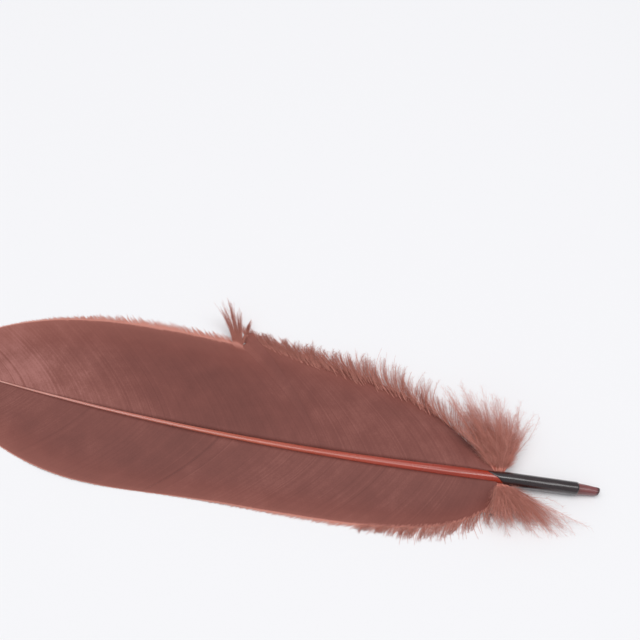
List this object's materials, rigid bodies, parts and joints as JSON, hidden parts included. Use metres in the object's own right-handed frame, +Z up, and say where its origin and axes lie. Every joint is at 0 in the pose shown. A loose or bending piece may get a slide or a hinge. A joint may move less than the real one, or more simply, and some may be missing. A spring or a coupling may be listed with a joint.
{
  "type": "goose quill feather",
  "caption": "Uncut goose flight feather for a quill pen: hollow dark barrel, tapering red shaft and two sprung barb vanes with down at the base.",
  "frame": {"origin": "centre of the bounding box's base, on the surface the feather lies on", "axes": "+X along the feather towards the root end, +Y towards the wide vane, +Z up from the surface, on the arched side"},
  "size_m": [0.1781, 0.0551, 0.0103],
  "materials": {
    "root_horn": "satin",
    "dark_skin": "satin",
    "dried_pulp": "matte",
    "shaft_horn": "gloss",
    "pith": "matte",
    "vane": "matte",
    "down": "matte"
  },
  "bodies": {
    "shaft": {"barrel": "root_horn", "barrel_skin": "dark_skin", "pulp_cap_1": "dried_pulp", "pulp_cap_2": "dried_pulp", "pulp_cap_3": "dried_pulp", "pulp_cap_4": "dried_pulp", "pulp_cap_5": "dried_pulp", "upper_plug": "dried_pulp", "shaft_shell": "shaft_horn", "shaft_pith": "pith", "tip_barbs": "vane", "after_tuft": "down"},
    "wide_vane": {"wide_barbs_1": "vane", "wide_barbs_2": "vane", "wide_barbs_3": "vane", "wide_barbs_4": "vane", "wide_barbs_5": "vane", "wide_barbs_6": "vane", "wide_barbs_7": "vane", "wide_barbs_8": "vane", "wide_barbs_9": "vane", "wide_barbs_10": "vane", "loose_lock": "vane", "wide_down_1": "down", "wide_down_2": "down", "wide_down_3": "down"},
    "narrow_vane": {"narrow_barbs_1": "vane", "narrow_barbs_2": "vane", "narrow_barbs_3": "vane", "narrow_barbs_4": "vane", "narrow_barbs_5": "vane", "narrow_barbs_6": "vane", "narrow_barbs_7": "vane", "narrow_barbs_8": "vane", "narrow_barbs_9": "vane", "narrow_down_1": "down", "narrow_down_2": "down", "narrow_down_3": "down"}
  },
  "joints": [
    {"name": "wide_vane_flex", "type": "hinge", "parent": "shaft", "child": "wide_vane", "pos_m": [-0.00769, -0.00607, 0.00426], "axis": [1, 0.0009, 0.0099], "range_deg": [-2, 10], "stiffness_Nm_per_rad": 0.006},
    {"name": "narrow_vane_flex", "type": "hinge", "parent": "shaft", "child": "narrow_vane", "pos_m": [-0.00768, -0.00863, 0.00426], "axis": [-0.9998, 0.0175, -0.0098], "range_deg": [-2, 10], "stiffness_Nm_per_rad": 0.004}
  ]
}
